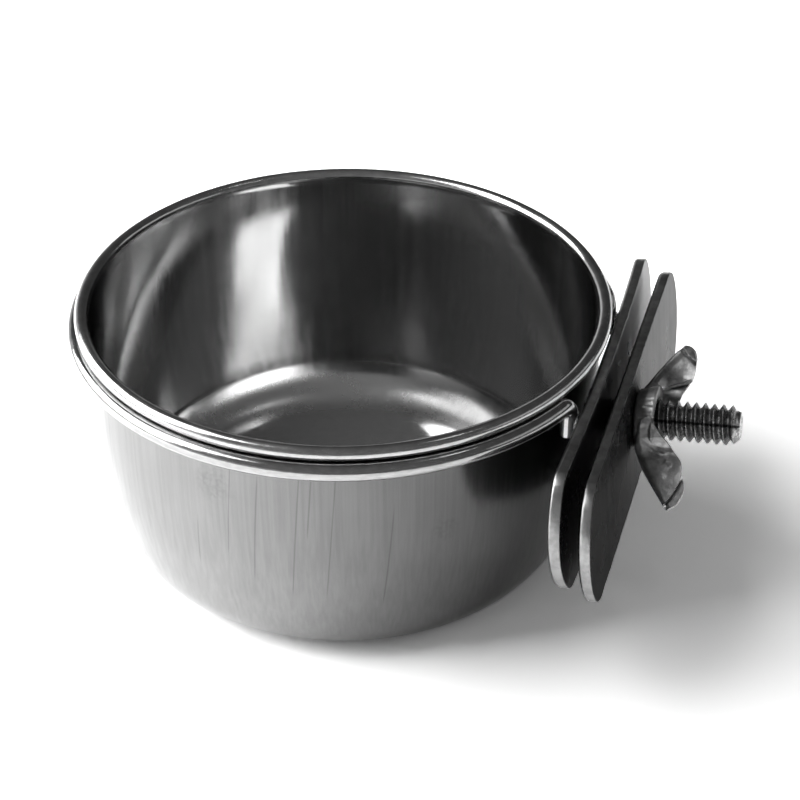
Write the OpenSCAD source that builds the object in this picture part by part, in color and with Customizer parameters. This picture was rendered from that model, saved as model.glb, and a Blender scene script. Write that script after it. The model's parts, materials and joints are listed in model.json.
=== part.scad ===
// Seed cup that hangs in a wire ring, with a two-plate clamp for cage wires.
// The origin is the centre of the cup's base. +Z is up and +X points to the clamp.

/* [Cup] */
// Diameter over the rolled rim
rim_d = 63.5; // [50:0.5:90]
// Height of the cup from its base to the top of the rim
cup_h = 33; // [29:0.5:50]
// Thickness of the rolled rim
bead_d = 1.7; // [1.4:0.1:2.6]
// Sheet thickness of the cup
cup_wall = 0.4; // [0.3:0.05:0.8]
// Distance by which the wall's inside stands back from the rim's inner edge
rim_lap = 0.05; // [0.02:0.01:0.1]
// Radius of the long curve by which the wall draws in towards the base
belly_r = 80; // [60:1:90]
// Slope of the wall where it meets the base corner, in degrees
belly_turn = 13.4; // [8:0.2:15]
// Radius of the corner between the wall and the base
corner_r = 6.7; // [4:0.1:8]

/* [Ring] */
// Thickness of the ring's wire
ring_wire_d = 2.1; // [1.6:0.1:3]
// Gap between the ring and the cup's wall
ring_clearance = 0.15; // [0.1:0.01:0.6]
// Gap between the ring and the rim that hangs on it
seat_gap = 0.1; // [0.05:0.05:0.3]
// Angle from the clamp's middle to where each end of the ring starts to bend, in degrees
arc_end = 23.4; // [18:0.2:33]
// Radius of the bend at each end of the ring, to the wire's centre
elbow_r = 1.6; // [1.6:0.1:3]
// Depth of each end below the ring's centre line
leg_drop = 4; // [3.5:0.1:6]
// Gap that the weld fills between each end of the ring and the inner plate
weld_gap = 0.4; // [0.2:0.05:0.8]
// Thickness of the weld
weld_d = 1.5; // [1.2:0.1:2]

/* [Clamp] */
// Tilt of the clamp, its bolt rising away from the cup, in degrees
clamp_pitch = 5.3; // [0:0.1:8]
// Height of the bolt, measured down from the rim's centre line at the inner plate
bolt_drop = 10.5; // [9:0.1:14]
// Length of each plate
plate_l = 55; // [40:0.5:80]
// Height of each plate
plate_w = 15.3; // [12:0.1:18]
// Sheet thickness of each plate
plate_t = 1.45; // [1.4:0.05:2.5]
// Depth of the rounded outline at each end of a plate
end_bow = 3.7; // [1:0.1:6]
// Depth by which the inner plate's ends bend back towards the cup
inner_bow = 0.7; // [0.2:0.05:1.2]
// Rise of the inner plate's middle above the bolt
inner_rise = 0.28; // [-0.5:0.02:0.5]
// Drop of the outer plate's middle below the bolt
outer_drop = 1.27; // [0:0.01:2]
// Opening between the plates at the bolt, as the clamp is shown
plate_gap = 1.15; // [0.3:0.05:4]

/* [Bolt] */
// Diameter of the thread
bolt_d = 4.76; // [4:0.02:6]
// Length of the bolt from the inner plate's back
bolt_len = 16.2; // [14:0.1:30]
// Pitch of the thread
thread_pitch = 1.058; // [0.7:0.001:1.25]
// Depth of the thread
thread_depth = 0.65; // [0.4:0.05:0.8]
// Length of the plain tip
tip_len = 0.6; // [0.3:0.1:1.5]
// Diameter at the end of the tip
tip_d = 3.1; // [2:0.1:3.1]
// Height by which the plain shank stands proud of the thread
shank_step = 0.02; // [0.01:0.01:0.05]
// Diameter of the flush head
head_d = 7.4; // [6.6:0.1:9]
// Depth of the flush head
head_h = 1.3; // [0.9:0.05:1.35]
// Gap around the shank and head, which are pressed into the inner plate
press_clearance = 0.03; // [0.01:0.01:0.06]
// Gap between the thread and the outer plate's hole
plate_clearance = 0.1; // [0.05:0.01:0.3]

/* [Wing nut] */
// Diameter of the hub
hub_d = 7.6; // [7:0.1:10]
// Length of the hub along the bolt
hub_l = 2.4; // [2:0.1:5]
// Edge taken off the hub's outer end
hub_edge = 0.5; // [0.2:0.1:0.8]
// Gap between the nut and the thread
nut_clearance = 0.08; // [0.05:0.01:0.2]
// Gap between the nut and the outer plate
nut_gap = 0.05; // [0.02:0.01:0.2]
// Turn of the wings about the bolt, from level, in degrees
wing_tilt = 30; // [-180:5:180]
// Reach of the wings from the bolt's axis to the middle of their round tips
wing_reach = 9.2; // [8:0.1:14]
// Flare of the wings, from the nut's seat to the middle of their tips
wing_flare = 5; // [3:0.1:8]
// Radius of the wings' tips
wing_tip_r = 1.4; // [1:0.1:2]
// Radius of the wings where they are widest
wing_belly_r = 2.15; // [1.8:0.05:2.6]
// Distance from the bolt's axis to the wings' widest part
wing_belly_reach = 4.45; // [4:0.05:6]
// Distance from the nut's seat to the wings' widest part
wing_belly_rise = 2.75; // [2.65:0.05:4]
// Thickness of each of the two layers in a wing
wing_sheet = 0.8; // [0.5:0.05:1.2]
// Length along the wing that the folded layer leaves bare at the tip
wing_bare = 4; // [2:0.1:5]

/* [Hidden] */
$fn = 96;
// Extra length by which a cutting shape passes through what it cuts
cut = 1;

// Rim and wall
bead_r = bead_d / 2;
bead_ring_r = rim_d / 2 - bead_r;
bead_z = cup_h - bead_r;
wall_r = rim_d / 2 - bead_d + rim_lap + cup_wall;
corner_z = corner_r;
belly_z = corner_z + (belly_r - corner_r) * sin(belly_turn);
belly_x = wall_r - belly_r;
corner_x = belly_x + (belly_r - corner_r) * cos(belly_turn);

// Ring: it passes under the rim, and the rim rests on it
wire_r = ring_wire_d / 2;
ring_r = wall_r + ring_clearance + wire_r;
seat_reach = bead_r + wire_r + seat_gap;
ring_z = bead_z - sqrt(seat_reach * seat_reach - pow(ring_r - bead_ring_r, 2));
leg_len = leg_drop - elbow_r;
leg_x = ring_r * cos(arc_end) + elbow_r * sin(arc_end);
leg_y = ring_r * sin(arc_end) - elbow_r * cos(arc_end);
leg_mid_z = ring_z - elbow_r - leg_len / 2;

// Clamp: the inner plate's back is a weld's gap away from the ring's legs
bow_r = (pow(plate_l / 2, 2) + inner_bow * inner_bow) / (2 * inner_bow);
bow_at_leg = bow_r - sqrt(bow_r * bow_r - leg_y * leg_y);
inner_z = bead_z - bolt_drop;
leg_to_plate = weld_gap + bow_at_leg + (leg_mid_z - inner_z) * sin(clamp_pitch);
inner_x = leg_x + wire_r + leg_to_plate / cos(clamp_pitch);
end_r = (pow(plate_w / 2, 2) + end_bow * end_bow) / (2 * end_bow);
outer_x = plate_t + plate_gap;
seat_x = outer_x + plate_t + nut_gap;
// A bow this flat needs many steps to stay true
bow_steps = 1440;

// Bolt
shank_d = bolt_d + 2 * shank_step;
thread_end = bolt_len - tip_len;
root_r = bolt_d / 2 - thread_depth;
turn_steps = 24;
thread_start = plate_t - thread_pitch;
thread_steps = floor((thread_end - thread_start) / thread_pitch * turn_steps);
crest_steps = thread_steps - turn_steps;

// Nut
bore_d = bolt_d + 2 * nut_clearance;
neck_r = hub_l / 2;
neck_reach = hub_d / 2 - neck_r;

// Points on an arc around a centre, from one angle to another
function arc_points(centre, r, from, to, steps) =
    [for (i = [0:steps]) centre + r * [cos(from + (to - from) * i / steps), sin(from + (to - from) * i / steps)]];

// Half profile of the cup's wall and base, moved in from its outside
function wall_profile(inset) = concat(
    [[wall_r - inset, bead_z]],
    arc_points([belly_x, belly_z], belly_r - inset, 0, -belly_turn, 6),
    [for (i = [1:9]) arc_points([corner_x, corner_z], corner_r - inset, -belly_turn, -90, 9)[i]],
    [[0, inset]]
);

function reversed(list) = [for (i = [len(list) - 1:-1:0]) list[i]];

// Turns a child that was drawn along Z so that it lies along X
module along_x() {
    rotate([0, 90, 0]) children();
}

// Places a child in the clamp's frame: the bolt's axis is X, and the inner plate's back is at zero
module clamp_frame() {
    translate([inner_x, 0, inner_z]) rotate([0, -clamp_pitch, 0]) children();
}

module cup() {
    color("gainsboro") {
        rotate_extrude() polygon(concat(wall_profile(0), reversed(wall_profile(cup_wall))));
        rotate_extrude() translate([bead_ring_r, bead_z]) circle(d = bead_d, $fn = 32);
    }
}

// One end of the ring, seen from the wire's last point: it bends down and runs behind the inner plate
module ring_end() {
    translate([ring_r, 0, ring_z - elbow_r]) {
        rotate([90, 0, 90]) rotate([0, 0, 90])
            rotate_extrude(angle = 90) translate([elbow_r, 0]) circle(r = wire_r, $fn = 32);
        translate([0, -elbow_r, -leg_len]) cylinder(h = leg_len, r = wire_r, $fn = 32);
    }
}

module weld() {
    weld_x = leg_x + wire_r + weld_gap / 2;
    translate([weld_x, leg_y, leg_mid_z]) rotate([0, -clamp_pitch, 0])
        cylinder(h = leg_len, d = weld_d, center = true, $fn = 32);
}

// The half of the ring on the +Y side, cut off flat where the halves meet
module half_ring() {
    difference() {
        rotate([0, 0, arc_end]) {
            rotate_extrude(angle = 180) translate([ring_r, ring_z]) circle(r = wire_r, $fn = 32);
            ring_end();
        }
        translate([-2 * ring_r, -2 * ring_r, 0]) cube([4 * ring_r, 2 * ring_r, cup_h + cut]);
    }
}

module ring() {
    color("silver") difference() {
        for (side = [0, 1]) mirror([0, side, 0]) {
            half_ring();
            weld();
        }
        clamp_frame() inner_blank();
    }
}

// Outline of both plates, with a rounded end on each side
module plate_outline() {
    intersection() {
        square([plate_l + cut, plate_w], center = true);
        union() {
            square([plate_l - 2 * end_bow, plate_w + cut], center = true);
            for (side = [-1, 1]) translate([side * (plate_l / 2 - end_r), 0]) circle(r = end_r);
        }
    }
}

module plate_prism(thick) {
    rotate([90, 0, 90]) linear_extrude(thick) plate_outline();
}

// Inner plate without its hole: a strip whose middle bows away from the cup
module inner_blank() {
    bow_h = plate_w + 2 * cut;
    translate([0, 0, inner_rise]) intersection() {
        translate([-inner_bow - cut, 0, 0]) plate_prism(plate_t + inner_bow + 2 * cut);
        translate([plate_t - bow_r, 0, -bow_h / 2]) difference() {
            cylinder(h = bow_h, r = bow_r, $fn = bow_steps);
            translate([0, 0, -cut]) cylinder(h = bow_h + 2 * cut, r = bow_r - plate_t, $fn = bow_steps);
        }
    }
}

// Shape of the bolt's head and shank, grown by a gap for the hole that holds them
module head_and_shank(gap, reach) {
    along_x() {
        cylinder(h = head_h, d1 = head_d + 2 * gap, d2 = shank_d + 2 * gap, $fn = 64);
        cylinder(h = reach, d = shank_d + 2 * gap, $fn = 64);
    }
}

module inner_plate() {
    color("gray") clamp_frame() difference() {
        inner_blank();
        head_and_shank(press_clearance, plate_t + cut);
        along_x() translate([0, 0, -cut]) cylinder(h = cut + press_clearance, d = head_d + 2 * press_clearance);
    }
}

module outer_plate() {
    color("gray") clamp_frame() difference() {
        translate([outer_x, 0, -outer_drop]) plate_prism(plate_t);
        along_x() cylinder(h = outer_x + plate_t + cut, d = bolt_d + 2 * plate_clearance, $fn = 64);
    }
}

// Screw thread along Z: one root line and one crest line wind up the rod
function thread_point(i, r, rise) =
    [r * cos(360 * i / turn_steps), r * sin(360 * i / turn_steps), thread_pitch * (i / turn_steps + rise)];

module thread() {
    roots = thread_steps + 1;
    crests = crest_steps + 1;
    points = concat(
        [for (i = [0:thread_steps]) thread_point(i, root_r, 0)],
        [for (i = [0:crest_steps]) thread_point(i, bolt_d / 2, 0.5)],
        [[0, 0, thread_pitch / 2]],
        [[0, 0, thread_pitch * (crest_steps / turn_steps + 0.5)]]
    );
    start = roots + crests;
    end = start + 1;
    lower_flank = [for (i = [0:crest_steps - 1]) each [
        [i, roots + i, roots + i + 1],
        [i, roots + i + 1, i + 1]
    ]];
    upper_flank = [for (i = [0:crest_steps - 1]) each [
        [roots + i, i + turn_steps, i + 1 + turn_steps],
        [roots + i, i + 1 + turn_steps, roots + i + 1]
    ]];
    start_cap = concat(
        [for (i = [0:turn_steps - 1]) [start, i, i + 1]],
        [[start, turn_steps, roots], [start, roots, 0]]
    );
    end_cap = concat(
        [for (i = [crest_steps:thread_steps - 1]) [end, i + 1, i]],
        [[end, crest_steps, roots + crest_steps], [end, roots + crest_steps, thread_steps]]
    );
    polyhedron(points, concat(lower_flank, upper_flank, start_cap, end_cap));
}

module bolt() {
    color("dimgray") clamp_frame() {
        head_and_shank(0, plate_t);
        along_x() {
            translate([0, 0, thread_start]) thread();
            translate([0, 0, thread_end - thread_pitch])
                cylinder(h = thread_pitch, r = root_r + shank_step, $fn = 48);
            translate([0, 0, thread_end]) cylinder(h = tip_len, r1 = root_r + shank_step, d2 = tip_d, $fn = 48);
        }
    }
}

// Flat shape between two circles and their common tangents
module tapered_bar(a, ra, b, rb) {
    gap = b - a;
    lean = asin((ra - rb) / norm(gap));
    heading = atan2(gap[1], gap[0]);
    left = heading + 90 - lean;
    right = heading - 90 + lean;
    translate(a) circle(r = ra, $fn = 48);
    translate(b) circle(r = rb, $fn = 48);
    polygon([
        a + ra * [cos(left), sin(left)],
        b + rb * [cos(left), sin(left)],
        b + rb * [cos(right), sin(right)],
        a + ra * [cos(right), sin(right)]
    ]);
}

// Outline of one wing: X is along the bolt from the nut's seat, Y is away from the bolt's axis
module wing_outline() {
    neck = [neck_r, neck_reach];
    belly = [wing_belly_rise, wing_belly_reach];
    tip = [wing_flare, wing_reach];
    tapered_bar(belly, wing_belly_r, tip, wing_tip_r);
    tapered_bar(neck, neck_r, belly, wing_belly_r);
}

// The folded layer is cut off slantwise before the tip
module folded_outline() {
    top = wing_reach + wing_tip_r;
    far = wing_flare + wing_tip_r + cut;
    difference() {
        wing_outline();
        polygon([
            [wing_flare - wing_tip_r / 2, top + cut],
            [far, top + cut],
            [far, top - wing_bare],
            [wing_flare + wing_tip_r, top - wing_bare],
            [wing_flare - wing_tip_r / 4, top]
        ]);
    }
}

module wing() {
    linear_extrude(wing_sheet) wing_outline();
    translate([0, 0, -wing_sheet]) linear_extrude(wing_sheet) folded_outline();
}

module wing_nut() {
    color("lightgray") clamp_frame() translate([seat_x, 0, 0]) difference() {
        union() {
            along_x() {
                cylinder(h = hub_l - hub_edge, d = hub_d);
                translate([0, 0, hub_l - hub_edge])
                    cylinder(h = hub_edge, d1 = hub_d, d2 = hub_d - 2 * hub_edge);
            }
            for (turn = [0, 180]) rotate([wing_tilt + turn, 0, 0]) wing();
        }
        along_x() translate([0, 0, -cut])
            cylinder(h = wing_flare + wing_belly_r + wing_tip_r + 2 * cut, d = bore_d, $fn = 64);
    }
}

cup();
ring();
inner_plate();
bolt();
outer_plate();
wing_nut();
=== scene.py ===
"""Looks of the seed cup: a pressed steel cup in a wire ring, with a screw clamp for cage wires."""
import json
import math

import bmesh
import bpy
from mathutils import Matrix, Vector, noise


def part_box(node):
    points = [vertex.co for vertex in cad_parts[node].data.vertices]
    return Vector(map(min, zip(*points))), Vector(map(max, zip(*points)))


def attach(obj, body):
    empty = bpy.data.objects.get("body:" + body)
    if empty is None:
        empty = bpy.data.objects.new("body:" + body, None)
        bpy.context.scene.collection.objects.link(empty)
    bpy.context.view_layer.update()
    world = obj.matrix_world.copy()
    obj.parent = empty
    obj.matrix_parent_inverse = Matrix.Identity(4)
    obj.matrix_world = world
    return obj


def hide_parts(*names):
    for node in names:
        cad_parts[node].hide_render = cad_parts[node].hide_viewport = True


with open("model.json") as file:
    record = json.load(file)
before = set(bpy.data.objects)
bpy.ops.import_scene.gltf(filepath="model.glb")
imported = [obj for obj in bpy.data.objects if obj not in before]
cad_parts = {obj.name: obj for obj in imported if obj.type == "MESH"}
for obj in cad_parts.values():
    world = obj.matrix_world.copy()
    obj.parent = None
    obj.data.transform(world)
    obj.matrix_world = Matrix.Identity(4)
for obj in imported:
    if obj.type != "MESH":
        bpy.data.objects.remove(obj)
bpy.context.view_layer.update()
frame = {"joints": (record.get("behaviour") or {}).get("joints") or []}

MM = 0.001
JOINTS = {joint["name"]: joint for joint in frame["joints"]}

# In millimetres: points closer than the first are made one, and a cut takes points closer to it than the
# second as lying on it
MERGE = 0.001
CUT_NEAR = 0.0005

# The cup, in millimetres: the sheet's inside is what is shaped, and its thickness lies outside
RIM_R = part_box("cup")[1].x / MM
CUP_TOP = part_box("cup")[1].z / MM
SHEET = 0.4
BEAD_R = 0.85
BEAD_RING_R = RIM_R - BEAD_R
BEAD_Z = CUP_TOP - BEAD_R
CURL_END = math.radians(-150)
WALL_R = 30.1
WALL_END = BEAD_Z - 0.9
BELLY_R = 79.6
BELLY_TURN = math.radians(13.4)
CORNER_R = 6.3
FLOOR_MIDDLE_R = 2.0
CUP_STEPS = 256
CORNER_STEPS = 16
BELLY_STEPS = 12
CURL_STEPS = 26

# The ring's wire. A leg is the stretch that runs down the inner plate
WIRE_R = 1.05
RING_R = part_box("ring")[1].y / MM - WIRE_R
RING_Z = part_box("ring")[1].z / MM - WIRE_R
RING_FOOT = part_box("ring")[0].z / MM
ARC_END = math.radians(23.4)
ELBOW_R = 1.6
LEG_X = RING_R * math.cos(ARC_END) + ELBOW_R * math.sin(ARC_END)
LEG_Y = RING_R * math.sin(ARC_END) - ELBOW_R * math.cos(ARC_END)
WIRE_STEPS = 24
ELBOW_STEPS = 10
RING_STEPS = 220

# A weld: its half sizes, how uneven it is and how often to the metre, and how far it lies past the wire and
# above its foot
WELD_HALF = (0.62, 0.95, 1.35)
WELD_UNEVEN = 0.12
WELD_LUMPS = 2200
WELD_OUT = 0.1
WELD_UP = 1.3

# The clamp's own frame: X along the bolt from the inner plate's back, Y along the plates. A plate's ends are
# round by the end bow. The inner plate's ends bend back a little, and its middle lies above the bolt and the
# outer plate's below it
PLATE_L = 55.0
PLATE_W = 15.3
PLATE_T = 1.45
END_BOW = 3.7
FRONT_EDGE = 0.14
PLATE_LENGTHS = 76
INNER_BOW = 0.7
INNER_RISE = 0.28
OUTER_DROP = 1.27
OUTER_X = 2.6
NUT_SEAT = 4.1

# The bolt, and the holes round it in the outer plate and the nut. Its points lie too close for a wider merge
BOLT_R = 2.38
BOLT_LEN = 16.19
BOLT_FIT = 0.05
BOLT_STEPS = 64
BOLT_MERGE = 0.0005
PITCH = 1.058
THREAD_DEPTH = 0.65
THREAD_FOOT = PLATE_T * 0.6
TIP_R = 1.55
TIP_SLOPE = 0.95
HEAD_R = 3.7
HEAD_H = 1.3
NECK_R = BOLT_R + 0.02
HOLE_R = 2.48
BORE_R = 2.46

# The marks of the shears on a plate: how far in they reach, how deep the nicks are and how high the burrs
NICK_REACH = 0.2
NICK_DEPTH = 0.22
BURR_HEIGHT = 0.05

BOLT_WAY = Vector(JOINTS["nut_turn"]["axis"])
CLAMP_ORIGIN = Vector(JOINTS["nut_turn"]["pos_m"]) - BOLT_WAY * NUT_SEAT * MM
CLAMP_TURN = Matrix.Rotation(-math.atan2(BOLT_WAY.z, BOLT_WAY.x), 4, "Y")
CLAMP = Matrix.Translation(CLAMP_ORIGIN) @ CLAMP_TURN
ALONG_X = Matrix.Rotation(math.pi / 2, 4, "Y")


def arc(centre, radius, first, last, steps):
    """Points on an arc, as (distance from the axis, height) pairs, without its first point."""
    turn = (last - first) / steps
    return [(centre[0] + radius * math.cos(first + turn * i), centre[1] + radius * math.sin(first + turn * i))
            for i in range(1, steps + 1)]


def smoothstep(low, high, value):
    share = min(1.0, max(0.0, (value - low) / (high - low)))
    return share * share * (3 - 2 * share)


def uneven(x, y, seed, height, per_millimetre):
    """A height that wavers over the surface, by up to this much and about this often."""
    return height * noise.noise(Vector((x * per_millimetre, y * per_millimetre, seed)))


def deselect():
    bpy.ops.object.select_all(action="DESELECT")


def only(piece):
    deselect()
    piece.select_set(True)
    bpy.context.view_layer.objects.active = piece


def edit(piece, mode="EDGE"):
    only(piece)
    bpy.ops.object.mode_set(mode="EDIT")
    bpy.ops.mesh.select_mode(type=mode)


def done():
    bpy.ops.object.mode_set(mode="OBJECT")


def select_everything():
    bpy.ops.mesh.select_all(action="SELECT")


def merge_doubles():
    select_everything()
    bpy.ops.mesh.remove_doubles(threshold=MERGE * MM)


def pick(piece, test, kind="edges"):
    """Selects, in edit mode, only the edges or faces that pass the test."""
    mesh = bmesh.from_edit_mesh(piece.data)
    bpy.ops.mesh.select_all(action="DESELECT")
    for part in getattr(mesh, kind):
        if test(part):
            part.select_set(True)
    mesh.select_flush_mode()
    bmesh.update_edit_mesh(piece.data)


def apply(piece, kind, **values):
    """Adds a modifier with these values and applies it."""
    only(piece)
    modifier = piece.modifiers.new("step", kind)
    for key, value in values.items():
        setattr(modifier, key, value)
    bpy.ops.object.modifier_apply(modifier=modifier.name)


def tidy(piece, angle=35.0, merge=0.002):
    """Merges doubles, turns the faces outwards and shades smooth below an angle."""
    edit(piece, "VERT")
    select_everything()
    bpy.ops.mesh.remove_doubles(threshold=merge * MM)
    bpy.ops.mesh.normals_make_consistent(inside=False)
    done()
    bpy.ops.object.shade_smooth_by_angle(angle=math.radians(angle))


def drawn(name, profile, steps, filled=True):
    """A round piece about Z: a circle that is extruded from one (radius, height) point to the next,
    in millimetres."""
    deselect()
    radius, height = profile[0]
    bpy.ops.mesh.primitive_circle_add(vertices=steps, radius=radius * MM, location=(0, 0, height * MM),
                                      fill_type="NGON" if filled else "NOTHING")
    piece = bpy.context.object
    piece.name = name
    edit(piece)
    select_everything()
    for wide, high in profile[1:]:
        bpy.ops.mesh.extrude_edges_move(TRANSFORM_OT_translate={"value": (0, 0, (high - height) * MM)})
        bpy.ops.transform.resize(value=(wide / radius, wide / radius, 1), center_override=(0, 0, 0))
        radius, height = wide, high
    done()
    only(piece)
    bpy.ops.object.transform_apply(location=True, rotation=True, scale=True)
    return piece


def joined(pieces, name):
    only(pieces[0])
    for piece in pieces[1:]:
        piece.select_set(True)
    bpy.ops.object.join()
    pieces[0].name = name
    return pieces[0]


def close_ends(piece):
    """Fills each open end of a piece that is in edit mode."""
    pick(piece, lambda edge: edge.is_boundary)
    bpy.ops.mesh.edge_face_add()


# Cup
def press_cup():
    """The inside from the middle of the floor up to the rolled rim, which then gets the sheet's thickness."""
    belly_z = CORNER_R + SHEET + (BELLY_R - CORNER_R) * math.sin(BELLY_TURN)
    belly_x = WALL_R - BELLY_R
    floor_r = belly_x + (BELLY_R - CORNER_R) * math.cos(BELLY_TURN)
    profile = [(FLOOR_MIDDLE_R, SHEET)] + [(floor_r * share, SHEET) for share in (0.3, 0.55, 0.8, 1.0)]
    profile += arc((floor_r, CORNER_R + SHEET), CORNER_R, -math.pi / 2, -BELLY_TURN, CORNER_STEPS)
    profile += arc((belly_x, belly_z), BELLY_R, -BELLY_TURN, 0, BELLY_STEPS)
    profile += [(WALL_R, belly_z + (WALL_END - belly_z) * share) for share in (0.35, 0.7, 1.0)]
    # The wall leans a little into the curl of the bead
    profile += [(WALL_R - 0.01, BEAD_Z - 0.5), (WALL_R - 0.03, BEAD_Z - 0.2), (BEAD_RING_R - BEAD_R, BEAD_Z)]
    profile += arc((BEAD_RING_R, BEAD_Z), BEAD_R, math.pi, CURL_END, CURL_STEPS)
    cup = drawn("cup_shell", profile, CUP_STEPS)
    apply(cup, "SOLIDIFY", thickness=SHEET * MM, offset=-1, use_even_offset=True, use_quality_normals=True)
    bpy.ops.object.shade_smooth_by_angle(angle=math.radians(40))
    return cup


# Ring
def bend_ring():
    """The wire's section, drawn up the near leg, round the cup and down the far leg."""
    deselect()
    foot = Vector((LEG_X, -LEG_Y, RING_FOOT))
    bpy.ops.mesh.primitive_circle_add(vertices=WIRE_STEPS, radius=WIRE_R * MM, location=foot * MM,
                                      fill_type="NOTHING")
    ring = bpy.context.object
    ring.name = "ring_wire"
    bpy.ops.object.transform_apply(location=True)
    leg = (RING_Z - ELBOW_R - RING_FOOT) * MM
    elbow = Vector((0, 0, RING_Z - ELBOW_R))
    near = Vector((math.cos(ARC_END), -math.sin(ARC_END), 0))
    far = Vector((math.cos(ARC_END), math.sin(ARC_END), 0))
    edit(ring)
    select_everything()
    bpy.ops.mesh.extrude_edges_move(TRANSFORM_OT_translate={"value": (0, 0, leg)})
    bpy.ops.mesh.spin(steps=ELBOW_STEPS, angle=math.pi / 2, center=(near * RING_R + elbow) * MM, axis=-near)
    bpy.ops.mesh.spin(steps=RING_STEPS, angle=2 * (math.pi - ARC_END), center=(0, 0, 0), axis=(0, 0, 1))
    bpy.ops.mesh.spin(steps=ELBOW_STEPS, angle=math.pi / 2, center=(far * RING_R + elbow) * MM, axis=-far)
    bpy.ops.mesh.extrude_edges_move(TRANSFORM_OT_translate={"value": (0, 0, -leg)})
    merge_doubles()
    close_ends(ring)
    done()
    tidy(ring)
    return ring


def melt_weld(side):
    """A drop of weld between one leg of the ring and the inner plate."""
    deselect()
    bpy.ops.mesh.primitive_ico_sphere_add(subdivisions=4, radius=MM)
    weld = bpy.context.object
    for vertex in weld.data.vertices:
        lump = 1 + WELD_UNEVEN * noise.noise(vertex.co * WELD_LUMPS + Vector((side * 7, 0, 0)))
        vertex.co = Vector([part * half for part, half in zip(vertex.co, WELD_HALF)]) * lump
    place = Vector((LEG_X + WIRE_R + WELD_OUT, side * LEG_Y, RING_FOOT + WELD_UP))
    weld.data.transform(Matrix.Translation(place * MM) @ CLAMP_TURN)
    bpy.ops.object.shade_smooth()
    return weld


# Plates
def plate_reach(height, corner_low, corner_high):
    """Half the plate's length at a height across it, with its long corners rounded."""
    end_r = ((PLATE_W / 2) ** 2 + END_BOW ** 2) / (2 * END_BOW)
    reach = PLATE_L / 2 - end_r + math.sqrt(end_r ** 2 - height ** 2)
    corner = corner_high if height > 0 else corner_low
    past = abs(height) - (PLATE_W / 2 - corner)
    if past > 0:
        reach -= corner - math.sqrt(max(0.0, corner ** 2 - past ** 2))
    return reach


def plate_outline(corner_low, corner_high, steps=44):
    """(along, across) points round the plate: up its far end and down its near end."""
    heights = [PLATE_W / 2 * math.sin(math.pi * (i / steps - 0.5)) for i in range(steps + 1)]
    far = [(plate_reach(height, corner_low, corner_high), height) for height in heights]
    return far + [(-reach, height) for reach, height in reversed(far)]


def round_edge(plate, level, size, steps):
    """Rounds the outline of the flat face at this level by insets, each one further out."""
    pick(plate, lambda face: all(abs(v.co.x / MM - level) < 1e-4 for v in face.verts), "faces")
    for i in range(steps):
        now, then = (math.pi / 2 * k / steps for k in (i, i + 1))
        bpy.ops.mesh.inset(thickness=size * (math.cos(now) - math.cos(then)) * MM,
                           depth=size * (math.sin(then) - math.sin(now)) * MM)


def drill_plate(plate, hole_r, height):
    deselect()
    bpy.ops.mesh.primitive_cylinder_add(vertices=BOLT_STEPS, radius=hole_r * MM, depth=6 * PLATE_T * MM,
                                        rotation=(0, math.pi / 2, 0), location=(0, 0, height * MM))
    drill = bpy.context.object
    apply(plate, "BOOLEAN", operation="DIFFERENCE", object=drill, solver="EXACT")
    bpy.data.objects.remove(drill)


def cut_plate(name, back_edge, corner_low, corner_high):
    """A strip with rounded ends, drawn flat in the clamp's frame with its back at zero."""
    outline = plate_outline(corner_low, corner_high)
    deselect()
    bpy.ops.mesh.primitive_circle_add(vertices=len(outline), radius=MM, fill_type="NGON")
    plate = bpy.context.object
    plate.name = name
    for vertex, (along, across) in zip(plate.data.vertices, outline):
        vertex.co = Vector((back_edge, along, across)) * MM
    edit(plate, "FACE")
    select_everything()
    bpy.ops.mesh.extrude_region_move(
        TRANSFORM_OT_translate={"value": ((PLATE_T - back_edge - FRONT_EDGE) * MM, 0, 0)})
    select_everything()
    bpy.ops.mesh.normals_make_consistent(inside=False)
    round_edge(plate, PLATE_T - FRONT_EDGE, FRONT_EDGE, steps=3)
    round_edge(plate, back_edge, back_edge, steps=6)
    # Cuts across it, so that it can be bowed and its edges can be nicked
    for i in range(1, PLATE_LENGTHS):
        along = (i / PLATE_LENGTHS - 0.5) * PLATE_L * MM
        select_everything()
        bpy.ops.mesh.bisect(plane_co=(0, along, 0), plane_no=(0, 1, 0), threshold=CUT_NEAR * MM)
    done()
    return plate


def nick_edges(plate, seed):
    """Small burrs and dents along the front edges, as the shears left them."""
    for vertex in plate.data.vertices:
        out, along, across = vertex.co / MM
        if out > PLATE_T - NICK_REACH and abs(across) > PLATE_W / 2 - NICK_REACH:
            nick = max(0.0, noise.noise(Vector((along * 1.3, seed, across))) - 0.15)
            burr = noise.noise(Vector((along * 2.1, seed + 5, 0))) - 0.3
            vertex.co.z -= math.copysign(nick * NICK_DEPTH, across) * MM
            vertex.co.x += burr * BURR_HEIGHT * MM


def smooth_plate(plate):
    tidy(plate, angle=30)
    apply(plate, "WEIGHTED_NORMAL", keep_sharp=True)


def roll_inner_plate():
    plate = cut_plate("inner_plate_sheet", back_edge=0.5, corner_low=0.9, corner_high=0.9)
    drill_plate(plate, BOLT_R + BOLT_FIT, -INNER_RISE)
    nick_edges(plate, seed=3.0)
    bow_r = ((PLATE_L / 2) ** 2 + INNER_BOW ** 2) / (2 * INNER_BOW)
    for vertex in plate.data.vertices:
        along = vertex.co.y / MM
        vertex.co.x -= (bow_r - math.sqrt(bow_r ** 2 - along ** 2)) * MM
    plate.data.transform(CLAMP @ Matrix.Translation((0, 0, INNER_RISE * MM)))
    smooth_plate(plate)
    return plate


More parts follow.
